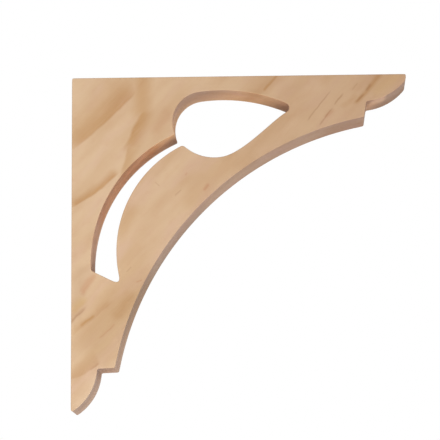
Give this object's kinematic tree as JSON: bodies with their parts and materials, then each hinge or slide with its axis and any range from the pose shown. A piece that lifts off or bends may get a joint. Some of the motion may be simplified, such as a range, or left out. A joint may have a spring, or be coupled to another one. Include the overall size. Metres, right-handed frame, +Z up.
{
  "type": "fretwork corner bracket",
  "caption": "Thick sawn pine corner bracket with two straight edges, a concave inner sweep, stepped rounded arm ends and an open scroll of teardrop and crescent.",
  "frame": {"origin": "centre of the post edge, the flat left face that meets the post", "axes": "+X away from the post along the beam edge, +Y from the front face to the back face through the thickness, +Z up to the beam edge"},
  "size_m": [0.29, 0.045, 0.29],
  "materials": {
    "pine": "bare planed pine with soft growth-ring figure, fine saw marks on the cut walls"
  },
  "bodies": {
    "root": {"bracket": "pine"}
  },
  "joints": []
}
